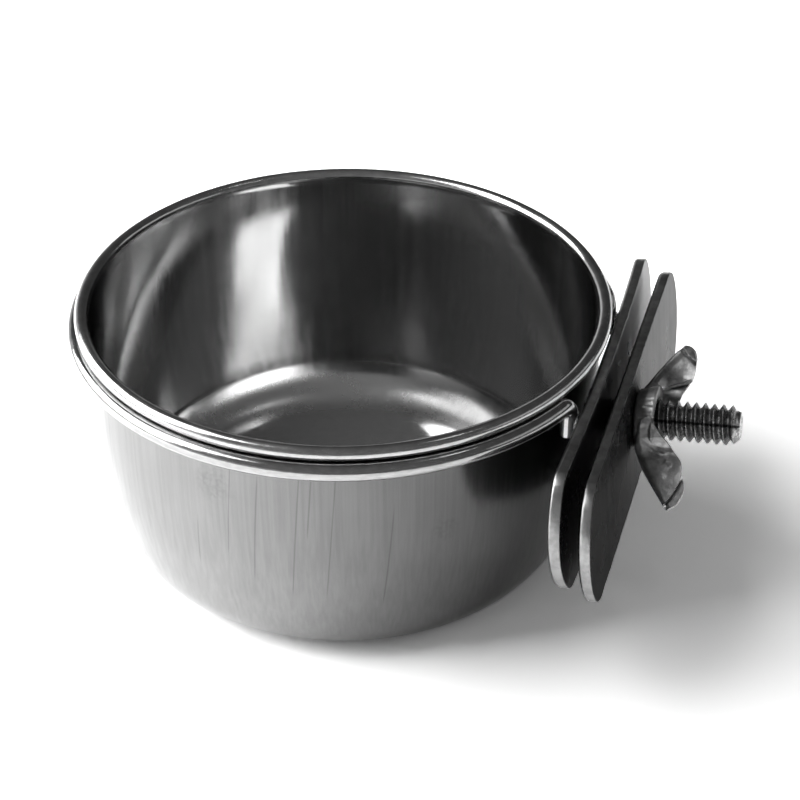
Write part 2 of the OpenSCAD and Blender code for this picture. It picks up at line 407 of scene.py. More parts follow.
def roll_outer_plate():
    plate = cut_plate("outer_plate_sheet", back_edge=0.6, corner_low=1.3, corner_high=1.5)
    drill_plate(plate, HOLE_R, OUTER_DROP)
    nick_edges(plate, seed=8.0)
    plate.data.transform(CLAMP @ Matrix.Translation((OUTER_X * MM, 0, -OUTER_DROP * MM)))
    smooth_plate(plate)
    return plate


# Bolt
def roll_thread():
    """The thread, along Z from inside the plate to the tip."""
    root = BOLT_R - THREAD_DEPTH
    start = PLATE_T - PITCH
    turns = math.ceil((BOLT_LEN - start) / PITCH) + 1
    # One turn's outline, as (radius, share of the pitch)
    outline = [(root, 0.0), (root + 0.03, 0.07), (BOLT_R - 0.05, 0.43), (BOLT_R, 0.47),
               (BOLT_R, 0.53), (BOLT_R - 0.05, 0.57), (root + 0.03, 0.93), (root, 1.0)]
    deselect()
    bpy.ops.mesh.primitive_plane_add(size=MM)
    thread = bpy.context.object
    edit(thread, "VERT")
    bpy.ops.mesh.merge(type="CENTER")
    first = Vector((root, 0, start))
    bpy.ops.transform.translate(value=first * MM)
    for (r0, h0), (r1, h1) in zip(outline, outline[1:]):
        bpy.ops.mesh.extrude_vertices_move(
            TRANSFORM_OT_translate={"value": ((r1 - r0) * MM, 0, (h1 - h0) * PITCH * MM)})
    done()
    apply(thread, "SCREW", angle=2 * math.pi, screw_offset=PITCH * MM, iterations=turns, steps=BOLT_STEPS,
          render_steps=BOLT_STEPS, use_merge_vertices=True, merge_threshold=MERGE * MM)
    edit(thread, "VERT")
    merge_doubles()
    for height, way in ((THREAD_FOOT, -1), (BOLT_LEN, 1)):
        select_everything()
        bpy.ops.mesh.bisect(plane_co=(0, 0, height * MM), plane_no=(0, 0, way), use_fill=True,
                            clear_outer=True, threshold=CUT_NEAR * MM)
    done()
    # The tip is ground to a cone
    for vertex in thread.data.vertices:
        limit = TIP_R + (BOLT_LEN - vertex.co.z / MM) * TIP_SLOPE
        radius = math.hypot(vertex.co.x, vertex.co.y) / MM
        if radius > limit:
            vertex.co.x *= limit / radius
            vertex.co.y *= limit / radius
    return thread


def forge_bolt():
    thread = roll_thread()
    profile = [(HEAD_R - 0.15, 0.0), (HEAD_R, 0.12), (NECK_R, HEAD_H), (NECK_R, PLATE_T),
               (BOLT_R - 0.2, PLATE_T)]
    head = drawn("head", profile, BOLT_STEPS)
    edit(head)
    close_ends(head)
    done()
    bolt = joined([thread, head], "bolt_shank")
    bolt.data.transform(CLAMP @ ALONG_X)
    tidy(bolt, angle=30, merge=BOLT_MERGE)
    return bolt


# Wing nut
WING_TILT = math.radians(30)

# The hub, as (radius, height) points: its foot on the plate, then up to the front, which flares into a lip
HUB_PROFILE = [(BORE_R, 0.12), (BORE_R + 0.3, 0.0), (3.1, 0.0), (3.4, 0.18), (3.52, 0.5), (3.55, 0.9),
               (3.6, 1.15), (3.69, 1.4), (3.8, 1.7), (3.92, 2.05), (3.97, 2.25), (3.9, 2.4), (3.5, 2.44),
               (3.0, 2.4), (BORE_R + 0.15, 2.34), (BORE_R, 2.2), (BORE_R, 0.12)]
HUB_R = 3.5
HUB_STEPS = 180

# Where the hub's wrinkles lie, in degrees round its axis, and how deep each one is. Then their width, and how
# far up the hub and out from its axis they start
HUB_WRINKLES = [(-160, 0.05), (-146, 0.09), (-133, 0.06), (-126, 0.1), (-121, 0.07),
                (12, 0.06), (30, 0.09), (48, 0.07)]
WRINKLE_WIDTH = 1.8
FLARE_Z = 1.2
FLARE_R = 3.0

# Each wing's lines, as (along the bolt from the seat, out from its axis): where the sheet is folded, the free
# edge of the layer that grows out of the hub, and the free edge of the layer that reaches the tip. Then where
# the tip turns down and how steeply, and how far out the swell of the hub reaches
FAR_WING = {
    "fold": [(0.3, 2.5), (0.12, 3.6), (0.55, 4.4), (1.57, 6.15), (2.9, 8.28), (3.72, 9.35), (4.12, 9.82)],
    "hub_edge": [(2.2, 1.2), (3.0, 1.7), (3.8, 2.1), (4.35, 2.9), (4.85, 3.9), (5.35, 5.0), (5.7, 6.2),
                 (5.75, 7.2)],
    "tip_edge": [(5.62, 5.25), (5.85, 6.0), (5.97, 7.1), (5.88, 7.84), (5.53, 8.81), (4.91, 9.52),
                 (4.3, 9.86)],
    "turns": (4.82, 8.12), "slope": 1.0, "swell": 4.2}
NEAR_WING = {
    "fold": [(0.3, 2.5), (0.17, 3.9), (0.73, 5.2), (1.56, 6.8), (3.02, 8.9), (4.5, 10.96)],
    "hub_edge": [(2.2, 1.2), (2.6, 2.26), (3.28, 2.93), (4.1, 3.57), (4.84, 4.23), (5.53, 4.96),
                 (5.98, 5.64), (6.12, 6.42), (6.17, 7.21)],
    "tip_edge": [(5.55, 5.3), (6.05, 6.83), (6.45, 7.8), (6.58, 8.6), (6.42, 9.7), (5.95, 10.7),
                 (5.05, 11.35)],
    "turns": (5.4, 9.9), "slope": 0.15, "swell": 5.0}

# The wings' bulges and dents, as (place in the same two lengths, radius, height): those that both layers
# follow, one close behind the other, the one where they stand further apart, and those of the hub's layer
BOTH_LAYERS = [((4.7, 5.6), 1.1, 0.35), ((2.7, 4.6), 1.1, -0.14)]
APART = [((2.0, 6.0), 0.8, 0.1)]
HUB_LAYER = [((4.3, 5.65), 0.28, 0.12), ((4.68, 6.05), 0.17, -0.16)]

# The wings' sheet, how far each layer lies from the wing's middle, how far out from the fold the sheet is
# still round, and the round of its cut edges
WING_SHEET = 0.34
WING_HALF = 0.44
WING_FOLD = 0.95
WING_EDGE = 0.06
WING_ACROSS = 84
WING_ALONG = 70

# The hub's layer: how high it stands over the hub, where that swell starts to sink and how it leans, how far
# the layer spreads towards its end and how far its free edge stands off. Then the creases beside the hub: a
# place on them, the way across them, how close together and how deep they are
HUB_RISE = 3.6
SWELL_R = 1.2
SWELL_X = 3.0
SWELL_LEAN = 0.2
HUB_LAYER_SPREAD = Vector((0.42, 0.9)) * 1.2
HUB_LAYER_EDGE = 0.07
CREASE_PLACE = (2.7, 4.35)
CREASE_WAY = (-0.4, 0.92)
CREASE_RATE = 13
CREASE_DEPTH = 0.06

# The tip's layer: the way across the line where it turns down, how uneven that line is and how soft its
# corner, and how much further the layer stands off along the fold and where it starts beside the hub
TIP_WAY = (0.61, 0.79)
TIP_UNEVEN = 0.12
TIP_SOFT = 0.004
FOLD_SWELL = 0.22
START_SWELL = 0.13
START_SHARE = 0.04


def press_hub():
    hub = drawn("hub", HUB_PROFILE, HUB_STEPS, filled=False)
    edit(hub, "VERT")
    merge_doubles()
    done()
    # Wrinkles across the front of the hub, where the sheet was drawn tight, and an uneven front edge
    for vertex in hub.data.vertices:
        x, y, z = vertex.co / MM
        turn = math.degrees(math.atan2(y, x))
        if z > FLARE_Z and math.hypot(x, y) > FLARE_R:
            depth = sum(deep * math.exp(-((turn - place) / WRINKLE_WIDTH) ** 2)
                        for place, deep in HUB_WRINKLES)
            vertex.co.x *= 1 - depth / HUB_R
            vertex.co.y *= 1 - depth / HUB_R
            vertex.co.z += uneven(x, y, 4, 0.05, 1.6) * MM
    hub.data.transform(ALONG_X)
    return hub


def through(points, share):
    """A point on a smooth line through these points."""
    place = share * (len(points) - 1)
    i = min(int(place), len(points) - 2)
    t = place - i
    p = [Vector(points[max(0, min(len(points) - 1, i + k))]) for k in (-1, 0, 1, 2)]
    return 0.5 * (2 * p[1] + (p[2] - p[0]) * t + (2 * p[0] - 5 * p[1] + 4 * p[2] - p[3]) * t * t
                  + (3 * p[1] - p[0] - 3 * p[2] + p[3]) * t ** 3)


def bump(x, r, middle, radius):
    return math.exp(-((x - middle[0]) ** 2 + (r - middle[1]) ** 2) / radius ** 2)


def bulges(x, r, places):
    return sum(height * bump(x, r, middle, radius) for middle, radius, height in places)


def hub_layer(lines, x, r, side, half):
    """How far the layer that grows out of the hub lies from the wing's middle."""
    at_hub = 1 - smoothstep(SWELL_R, lines["swell"], r + SWELL_LEAN * (x - SWELL_X))
    half += bulges(x, r, BOTH_LAYERS) + (HUB_RISE - half) * at_hub
    half += bulges(x, r, HUB_LAYER)
    across = (r - CREASE_PLACE[1]) * CREASE_WAY[1] + (x - CREASE_PLACE[0]) * CREASE_WAY[0]
    half += CREASE_DEPTH * math.sin(across * CREASE_RATE) * bump(x, r, (2.8, 4.5), 0.9)
    return half + HUB_LAYER_EDGE * smoothstep(0.9, 1.0, side)


def tip_layer(lines, x, r, share, out, half, seed):
    """How far the layer that reaches the tip lies from the wing's middle."""
    past = (x - lines["turns"][0]) * TIP_WAY[0] + (r - lines["turns"][1]) * TIP_WAY[1]
    past += uneven(x, r, seed + 9, TIP_UNEVEN, 1.1)
    half += FOLD_SWELL * (1 - smoothstep(0.5, 2.0, out)) + START_SWELL * math.exp(-(share / START_SHARE) ** 2)
    turned_down = lines["slope"] * 0.5 * (past + math.sqrt(past * past + TIP_SOFT))
    return half - (bulges(x, r, BOTH_LAYERS) + turned_down)


def press_wing(lines, seed, sheet_finish, cut_finish):
    """One wing: X along the bolt, Y out from its axis. One layer grows out of the hub and is cut short at the
    tip, the sheet folds over on the plate's side, and the other layer reaches the tip and ends short of the
    hub."""
    deselect()
    bpy.ops.mesh.primitive_grid_add(x_subdivisions=WING_ACROSS, y_subdivisions=WING_ALONG, size=2)
    wing = bpy.context.object
    for vertex in wing.data.vertices:
        layer, share = vertex.co.x, (vertex.co.y + 1) / 2
        side = abs(layer) ** 1.4
        fold = through(lines["fold"], share)
        edge = through(lines["hub_edge" if layer < 0 else "tip_edge"], share)
        place = fold.lerp(edge, side)
        if layer < 0:
            place += HUB_LAYER_SPREAD * side * (1 - side) * smoothstep(0.6, 1.0, share)
        x, r = place
        out = side * (edge - fold).length
        curl = math.sqrt(1 - (1 - min(1.0, out / WING_FOLD)) ** 2)
        half = WING_HALF + bulges(x, r, APART)
        if layer < 0:
            half = hub_layer(lines, x, r, side, half)
        else:
            half = tip_layer(lines, x, r, share, out, half, seed)
        wobble = uneven(x, r, 3.0 * layer + seed, 0.035, 0.7)
        wobble += uneven(x, r, 3.0 * layer + seed, 0.012, 2.3)
        vertex.co = Vector((x, r, math.copysign(curl * (half + wobble), layer))) * MM
    wing.data.materials.append(sheet_finish)
    wing.data.materials.append(cut_finish)
    apply(wing, "SOLIDIFY", thickness=WING_SHEET * MM, offset=-1, material_offset_rim=1)
    apply(wing, "BEVEL", width=WING_EDGE * MM, segments=2, limit_method="ANGLE",
          angle_limit=math.radians(55))
    return wing


def fold_wing_nut(sheet_finish, cut_finish):
    hub = press_hub()
    hub.data.materials.append(sheet_finish)
    wings = []
    for turn, lines in ((0, FAR_WING), (math.pi, NEAR_WING)):
        wing = press_wing(lines, turn, sheet_finish, cut_finish)
        wing.data.transform(Matrix.Rotation(WING_TILT + turn, 4, "X"))
        wings.append(wing)
    nut = joined([hub] + wings, "wing_nut_sheet")
    nut.data.transform(CLAMP @ Matrix.Translation((NUT_SEAT * MM, 0, 0)))
    tidy(nut, angle=40)
    return nut


# Materials
def feed(tree, node, inputs):
    """Gives inputs of a node a value or another node's output."""
    for key, value in inputs.items():
        if isinstance(value, bpy.types.NodeSocket):
            tree.links.new(value, node.inputs[key])
        else:
            node.inputs[key].default_value = value


def add(tree, kind, inputs=None, **settings):
    """A node with its settings and inputs."""
    made = tree.nodes.new("ShaderNode" + kind)
    for key, value in settings.items():
        setattr(made, key, value)
    feed(tree, made, inputs or {})
    return made


def maths(tree, operation, *values):
    return add(tree, "Math", dict(enumerate(values)), operation=operation).outputs[0]


def vector_maths(tree, operation, *values):
    """A vector, or a number where the operation measures one."""
    made = add(tree, "VectorMath", dict(enumerate(values)), operation=operation)
    return made.outputs["Value" if operation in ("DOT_PRODUCT", "DISTANCE", "LENGTH") else "Vector"]


def times(tree, value, *others):
    """The product of two or more values or masks."""
    for other in others:
        value = maths(tree, "MULTIPLY", value, other)
    return value


def inverse(tree, mask):
    return maths(tree, "SUBTRACT", 1.0, mask)


def remap(tree, value, low, high, to_low=0.0, to_high=1.0, smooth=True):
    """Turns low..high into to_low..to_high, held at both ends."""
    limits = {"Value": value, "From Min": low, "From Max": high, "To Min": to_low, "To Max": to_high}
    way = "SMOOTHSTEP" if smooth else "LINEAR"
    return add(tree, "MapRange", limits, interpolation_type=way).outputs["Result"]


def spaced(values):
    """The same values under names with spaces, as the sockets have them."""
    return {key.replace("_", " "): value for key, value in values.items()}


def effect(name, inputs, outputs):
    """An empty node group with these named inputs and outputs."""
    tree = bpy.data.node_groups.new(name, "ShaderNodeTree")
    for label, kind, value in inputs:
        socket = tree.interface.new_socket(label, in_out="INPUT", socket_type="NodeSocket" + kind)
        if value is not None:
            socket.default_value = value
    for label in outputs:
        tree.interface.new_socket(label, in_out="OUTPUT", socket_type="NodeSocketFloat")
    return tree, tree.nodes.new("NodeGroupInput").outputs, tree.nodes.new("NodeGroupOutput")


def make_grain():
    """Fine lines: noise that is stretched along one way of the piece."""
    tree, given, out = effect("grain", [("Place", "Vector", None), ("Per millimetre", "Vector", (4, 4, 0.05)),
                                        ("Contrast", "Float", 0.2)], ["Grain"])
    place = vector_maths(tree, "MULTIPLY", given["Place"], given["Per millimetre"])
    lines = add(tree, "TexNoise", {"Vector": place, "Scale": 1.0, "Detail": 3.0,
                                   "Roughness": 0.6}).outputs[0]
    low = maths(tree, "SUBTRACT", 0.5, given["Contrast"])
    high = maths(tree, "ADD", 0.5, given["Contrast"])
    feed(tree, out, {"Grain": remap(tree, lines, low, high)})
    return tree


def make_cloud():
    """Soft patches of a given size in millimetres."""
    tree, given, out = effect("cloud", [("Place", "Vector", None), ("Size", "Float", 8.0),
                                        ("Seed", "Float", 0.0)], ["Cloud"])
    patches = add(tree, "TexNoise", {"Vector": given["Place"], "W": given["Seed"],
                                     "Scale": maths(tree, "DIVIDE", 1.0, given["Size"]), "Detail": 4.0,
                                     "Roughness": 0.55}, noise_dimensions="4D").outputs[0]
    feed(tree, out, {"Cloud": remap(tree, patches, 0.35, 0.65)})
    return tree


def make_draw_line():
    """One dark line down the cup's wall, at an angle round its axis. It leans a little and its ends fade."""
    tree, given, out = effect("draw_line", [("Place", "Vector", None), ("Angle", "Float", -1.5),
                                            ("Low", "Float", 12.0), ("High", "Float", 28.0),
                                            ("Width", "Float", 0.12)], ["Line"])
    x, y, z = add(tree, "SeparateXYZ", {0: given["Place"]}).outputs
    sine, cosine = maths(tree, "SINE", given["Angle"]), maths(tree, "COSINE", given["Angle"])
    side = maths(tree, "SUBTRACT", times(tree, y, cosine), times(tree, x, sine))
    front = maths(tree, "ADD", times(tree, x, cosine), times(tree, y, sine))
    lean = times(tree, maths(tree, "SUBTRACT", z, given["High"]), 0.075)
    away = maths(tree, "ABSOLUTE", maths(tree, "SUBTRACT", side, lean))
    line = remap(tree, away, 0.0, given["Width"], 1.0, 0.0)
    above = remap(tree, z, given["Low"], maths(tree, "ADD", given["Low"], 2.0))
    below = remap(tree, z, given["High"], maths(tree, "ADD", given["High"], 3.0), 1.0, 0.0)
    in_front = maths(tree, "GREATER_THAN", front, 0.0)
    feed(tree, out, {"Line": times(tree, line, times(tree, above, below), in_front)})
    return tree


# How far a spot's outline strays, in millimetres
SPOT_RAGGED = 2.2


def make_spot():
    """A rough patch round one place on the piece."""
    tree, given, out = effect("spot", [("Place", "Vector", None), ("Middle", "Vector", (0, 0, 0)),
                                       ("Radius", "Float", 2.0)], ["Spot"])
    ragged = add(tree, "TexNoise", {"Vector": given["Place"], "Scale": 1.6, "Detail": 3.0}).outputs["Color"]
    moved = vector_maths(tree, "MULTIPLY_ADD", ragged, [SPOT_RAGGED] * 3, given["Place"])
    moved = vector_maths(tree, "SUBTRACT", moved, [SPOT_RAGGED / 2] * 3)
    away = vector_maths(tree, "DISTANCE", moved, given["Middle"])
    full = times(tree, given["Radius"], 0.3)
    feed(tree, out, {"Spot": remap(tree, away, full, given["Radius"], 1.0, 0.0)})
    return tree


def make_bolt_axis():
    """How far a place is from the bolt's axis, how far along it from the inner plate's back, and the angle
    round it in degrees, which is zero at the far side and 90 on top."""
    tree, given, out = effect("bolt_axis", [("Place", "Vector", None)], ["Distance", "Along", "Round"])
    from_back = vector_maths(tree, "SUBTRACT", given["Place"], CLAMP_ORIGIN / MM)
    rise = vector_maths(tree, "DOT_PRODUCT", from_back, BOLT_WAY.cross(Vector((0, 1, 0))))
    side = add(tree, "SeparateXYZ", {0: from_back}).outputs["Y"]
    squares = maths(tree, "ADD", maths(tree, "POWER", rise, 2.0), maths(tree, "POWER", side, 2.0))
    feed(tree, out, {"Distance": maths(tree, "SQRT", squares),
                     "Along": vector_maths(tree, "DOT_PRODUCT", from_back, BOLT_WAY),
                     "Round": maths(tree, "DEGREES", maths(tree, "ARCTAN2", rise, side))})
    return tree


GRAIN, CLOUD, DRAW_LINE, SPOT, BOLT_AXIS = (
    make_grain(), make_cloud(), make_draw_line(), make_spot(), make_bolt_axis())


class Metal:
    """A metal while it is put together: its nodes, its place in millimetres, its grey and its roughness."""

    def __init__(self, name, colour, roughness):
        self.material = bpy.data.materials.new(name)
        self.material.use_nodes = True
        self.tree = self.material.node_tree
        self.shader = self.tree.nodes["Principled BSDF"]
        self.colour, self.roughness = colour, roughness
        metres = add(self.tree, "TexCoord").outputs["Object"]
        self.place = vector_maths(self.tree, "MULTIPLY", metres, [1 / MM] * 3)

    def use(self, group, output=0, **inputs):
        """One of the shared effects, with its own values."""
        given = {"Place": self.place, **spaced(inputs)}
        return add(self.tree, "Group", given, node_tree=group).outputs[output]

    def part(self, axis):
        """One coordinate of the place."""
        return add(self.tree, "SeparateXYZ", {0: self.place}).outputs[axis]

    def tone(self, mask, factor):
        """Where the mask is one, the colour is multiplied by the factor."""
        toned = remap(self.tree, mask, 0, 1, 1.0, factor, smooth=False)
        self.colour = times(self.tree, self.colour, toned)

    def roughen(self, mask, amount):
        self.roughness = maths(self.tree, "MULTIPLY_ADD", mask, amount, self.roughness)

    def raise_by(self, mask, millimetres):
        """The surface stands this much higher where the mask is one."""
        raised = add(self.tree, "Bump", {"Height": mask, "Strength": 1.0, "Distance": millimetres * MM})
        feed(self.tree, self.shader, {"Normal": raised.outputs[0]})

    def finish(self, **uniform):
        """Sets the shader, with any values that are the same all over."""
        grey = add(self.tree, "CombineColor", dict.fromkeys(range(3), self.colour)).outputs[0]
        feed(self.tree, self.shader, {"Metallic": 1.0, "Base Color": grey, "Roughness": self.roughness})
        feed(self.tree, self.shader, spaced(uniform))
        return self.material


def inside_steel():
    steel = Metal("cup_inside", 0.56, 0.06)
    steel.roughen(steel.use(CLOUD, Size=14.0, Seed=2.0), 0.06)
    steel.roughen(steel.use(GRAIN, Per_millimetre=(0.8, 0.8, 0.02)), 0.04)
    # The floor is a little dulled by use and the corner round it more. On the clamp's side the corner also
    # gets painted shade, which dims the lamps' highlight there
    low = remap(steel.tree, steel.part("Z"), 2.5, 6.0, 1.0, 0.0)
    off_floor = remap(steel.tree, steel.part("Z"), 0.41, 0.55)
    clamp_side_shade = remap(steel.tree, steel.part("X"), -4.0, 8.0)
    corner = times(steel.tree, low, off_floor)
    steel.roughen(low, 0.04)
    steel.roughen(corner, 0.12)
    # Painted shade on the corner towards the clamp
    steel.tone(times(steel.tree, corner, clamp_side_shade), 0.3)
    steel.raise_by(steel.use(GRAIN, Per_millimetre=(0.2, 0.2, 0.01), Contrast=0.4), 0.008)
    return steel.finish()


# The lines that the drawing left down the cup's wall: degrees round its axis, lowest and highest point, width
DRAW_LINES = [(-91.2, 12, 26, 0.16), (-82.2, 10.5, 28, 0.14), (-79.7, 19.5, 28, 0.16),
              (-74.7, 10.5, 28, 0.12), (-106.0, 12, 18, 0.14), (-97.0, 15, 28, 0.12),
              (-63.0, 9, 22, 0.12), (-135.0, 14, 27, 0.15), (40.0, 12, 26, 0.15),
              (118.0, 10, 25, 0.16), (165.0, 14, 28, 0.13)]

# The speckled spots on the cup's wall: middle and radius
WALL_SPOTS = [((18.9, -23.8, 19.9), 2.2), ((-6.0, -29.9, 25.3), 3.2), ((-24.0, 18.5, 21.0), 3.0)]


def outside_steel():
    steel = Metal("cup_outside", 0.27, 0.2)
    steel.tone(steel.use(GRAIN, Per_millimetre=(2.2, 2.2, 0.03), Contrast=0.25), 0.86)
    steel.tone(steel.use(CLOUD, Size=10.0, Seed=1.0), 0.93)
    # Painted shade: the steel is darker towards the clamp, in place of the shadowed floor that it would
    # reflect there
    clamp_side_shade = vector_maths(steel.tree, "DOT_PRODUCT", steel.place, (1 / WALL_R, 0, 0))
    steel.tone(remap(steel.tree, clamp_side_shade, -0.45, 0.8), 0.38)
    for degrees, low, high, width in DRAW_LINES:
        steel.tone(steel.use(DRAW_LINE, Angle=math.radians(degrees), Low=low, High=high, Width=width), 0.72)
    for middle, radius in WALL_SPOTS:
        spot = steel.use(SPOT, Middle=middle, Radius=radius)
        steel.tone(times(steel.tree, spot, steel.use(CLOUD, Size=0.5, Seed=11.0)), 0.84)
    steel.roughen(steel.use(GRAIN, Per_millimetre=(1.6, 1.6, 0.03)), 0.07)
    steel.raise_by(steel.use(GRAIN, Per_millimetre=(1.2, 1.2, 0.03), Contrast=0.3), 0.004)
    return steel.finish(Anisotropic=0.5, Anisotropic_Rotation=0.25)


def bead_steel():
    steel = Metal("cup_bead", 0.5, 0.14)
    steel.roughen(steel.use(CLOUD, Size=5.0, Seed=4.0), 0.1)
    steel.tone(steel.use(GRAIN, Per_millimetre=(0.7, 0.7, 3.0)), 0.8)
    steel.raise_by(steel.use(CLOUD, Size=3.0, Seed=6.0), 0.012)
    return steel.finish()


def wire_steel():
    steel = Metal("ring_polish", 0.42, 0.08)
    steel.roughen(steel.use(CLOUD, Size=4.0, Seed=5.0), 0.12)
    steel.tone(steel.use(GRAIN, Per_millimetre=(0.8, 0.8, 3.0)), 0.82)
    steel.raise_by(steel.use(CLOUD, Size=2.5, Seed=7.0), 0.01)
    return steel.finish()


def plate_face_steel(name, colour, edge_tint):
    """A plate's faces, with painted shade that makes them darker towards the near end. The tint lowers what
    they reflect at a flat angle.
    """
    steel = Metal(name, colour, 0.26)
    # Painted shade towards the near end
    steel.tone(remap(steel.tree, steel.part("Y"), -18.0, 18.0, 1.0, 0.0), 0.3)
    steel.tone(steel.use(CLOUD, Size=7.0, Seed=2.0), 0.9)
    steel.roughen(steel.use(CLOUD, Size=9.0, Seed=3.0), 0.08)
    return steel.finish(Specular_Tint=(edge_tint, edge_tint, edge_tint, 1))


def plate_edge_steel():
    steel = Metal("plate_edge", 0.33, 0.28)
    steel.tone(steel.use(CLOUD, Size=1.2, Seed=3.0), 0.7)
    steel.roughen(steel.use(CLOUD, Size=3.0, Seed=9.0), 0.12)
    steel.raise_by(steel.use(GRAIN, Per_millimetre=(0.5, 1.6, 1.6), Contrast=0.35), 0.006)
    return steel.finish()


# Where the thread's seam lies, in degrees round the bolt
SEAM_ROUND = 150.0


def thread_steel():
    steel = Metal("bolt_thread", 1.0, 0.25)
    tree = steel.tree
    away, along = steel.use(BOLT_AXIS, "Distance"), steel.use(BOLT_AXIS, "Along")
    ground = remap(tree, along, BOLT_LEN - 0.75, BOLT_LEN - 0.6)
    head = remap(tree, along, PLATE_T, PLATE_T + 0.05, 1.0, 0.0)
    rolled = inverse(tree, maths(tree, "MAXIMUM", ground, head))
    # Painted highlight and shade: the colour is white at the crests, for glints, and darkened below them, the
    # flanks more than the root
    painted_shade_below_crest = remap(tree, away, BOLT_R - 0.12, BOLT_R - 0.01, 1.0, 0.0)
    painted_shade_off_root = remap(tree, away, BOLT_R - 0.55, BOLT_R - 0.3)
    steel.tone(times(tree, painted_shade_below_crest, rolled), 0.36)
    steel.tone(ground, 0.6)
    steel.tone(head, 0.3)
    steel.tone(times(tree, painted_shade_off_root, rolled), 0.5)
    steel.tone(steel.use(CLOUD, Size=0.7, Seed=3.0), 0.45)
    speck = steel.use(GRAIN, Per_millimetre=(2.2, 2.2, 2.2), Contrast=0.14)
    steel.tone(times(tree, speck, inverse(tree, head)), 0.5)
    # A dark seam that the rolling left along the thread
    off_seam = maths(tree, "SUBTRACT", steel.use(BOLT_AXIS, "Round"), SEAM_ROUND)
    seam = remap(tree, maths(tree, "ABSOLUTE", off_seam), 2.0, 7.0, 1.0, 0.0)
    steel.tone(times(tree, seam, inverse(tree, head)), 0.15)
    steel.roughen(steel.use(CLOUD, Size=0.4, Seed=5.0), 0.15)
    steel.raise_by(times(tree, steel.use(CLOUD, Size=0.3, Seed=1.0), rolled), 0.05)
    return steel.finish()


# Painted shade in the hollows where the two wings leave the hub: middle of each, and the radius of both
WING_HOLLOW_SHADE = [(37.9, -4.2, 22.1), (37.5, 4.2, 25.6)]
HOLLOW_SHADE_R = 2.7


def nut_steel():
    steel = Metal("nut_sheet", 0.36, 0.38)
    steel.tone(steel.use(CLOUD, Size=1.8, Seed=5.0), 0.75)
    steel.tone(steel.use(CLOUD, Size=0.5, Seed=6.0), 0.85)
    # Painted highlight: the hub's front is brightened, but for the upper part of its near side
    front = remap(steel.tree, steel.use(BOLT_AXIS, "Along"), NUT_SEAT + 1.0, NUT_SEAT + 1.5)
    hub = remap(steel.tree, steel.use(BOLT_AXIS, "Distance"), 4.0, 4.1, 1.0, 0.0)
    painted_highlight_part = remap(steel.tree, steel.use(BOLT_AXIS, "Round"), 125.0, 150.0, 1.0, 0.0)
    steel.tone(times(steel.tree, front, hub, painted_highlight_part), 2.1)
    # Painted shade in the wings' hollows
    for middle in WING_HOLLOW_SHADE:
        steel.tone(steel.use(SPOT, Middle=middle, Radius=HOLLOW_SHADE_R), 0.4)
    steel.roughen(steel.use(CLOUD, Size=1.2, Seed=7.0), 0.14)
    steel.raise_by(steel.use(CLOUD, Size=0.9, Seed=8.0), 0.02)
    return steel.finish()


def cut_steel():
    """The sheet's cut edges on the nut."""
    steel = Metal("nut_cut_edge", 0.6, 0.45)
    steel.tone(steel.use(CLOUD, Size=0.6, Seed=2.0), 0.6)
    return steel.finish()


cup_finishes = inside_steel(), outside_steel(), bead_steel()
wire_finish = wire_steel()
inner_plate_finish = plate_face_steel("inner_plate_face", 0.5, 0.5)
outer_plate_finish = plate_face_steel("outer_plate_face", 0.3, 0.35)
edge_finish = plate_edge_steel()
bolt_finish = thread_steel()
nut_finish = nut_steel()
cut_finish = cut_steel()


# Dressing
def dress(piece, body, node, slot, *materials):
    """Gives a piece its finishes, unless it has its own, and its body, and hides its CAD part. The slot is
    not used.
    """
    for material in materials:
        piece.data.materials.append(material)
    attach(piece, body)
    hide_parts(node)


def part_cup(cup):
    """Shares the cup's faces out between its inside, its outside with the base, and its bead."""
    inside, outside, bead = range(3)
    bead_inside = BEAD_Z - 0.3
    bead_foot = BEAD_Z - BEAD_R - 0.1
    wall_outside = WALL_R + SHEET + 0.03
    for face in cup.data.polygons:
        middle = face.center / MM
        out = Vector((middle.x, middle.y, 0)).dot(face.normal)
        if middle.z > bead_inside or (middle.z > bead_foot and middle.xy.length > wall_outside):
            face.material_index = bead
        elif out > 1e-6 or face.normal.z < -0.5:
            face.material_index = outside
        else:
            face.material_index = inside


def part_plate(plate):
    """Gives the plate's edges its second finish."""
    for face in plate.data.polygons:
        if abs(face.normal.dot(BOLT_WAY)) < 0.5:
            face.material_index = 1


cup = press_cup()
dress(cup, "cup", "cup", "cup_steel", *cup_finishes)
part_cup(cup)
ring = joined([bend_ring(), melt_weld(-1), melt_weld(1)], "ring_wire")
dress(ring, "holder", "ring", "ring_wire", wire_finish)
for plate, body, node, face_finish in ((roll_inner_plate(), "holder", "inner_plate", inner_plate_finish),
                                       (roll_outer_plate(), "clamp", "outer_plate", outer_plate_finish)):
    dress(plate, body, node, "plate_steel", face_finish, edge_finish)
    part_plate(plate)
dress(forge_bolt(), "holder", "bolt", "bolt_steel", bolt_finish)
dress(fold_wing_nut(nut_finish, cut_finish), "nut", "wing_nut", "nut_steel")


# Camera, at the photograph's viewing angle. The picture's centre lies a little left of its aim and above it
AZIMUTH = math.radians(15.89)
ELEVATION = math.radians(34.59)
DISTANCE = 254.0
LENS = 94.2
SENSOR = 36
AIM = Vector((7.036, 0, 18.75))
AIM_LEFT = 0.12
AIM_UP = 0.275


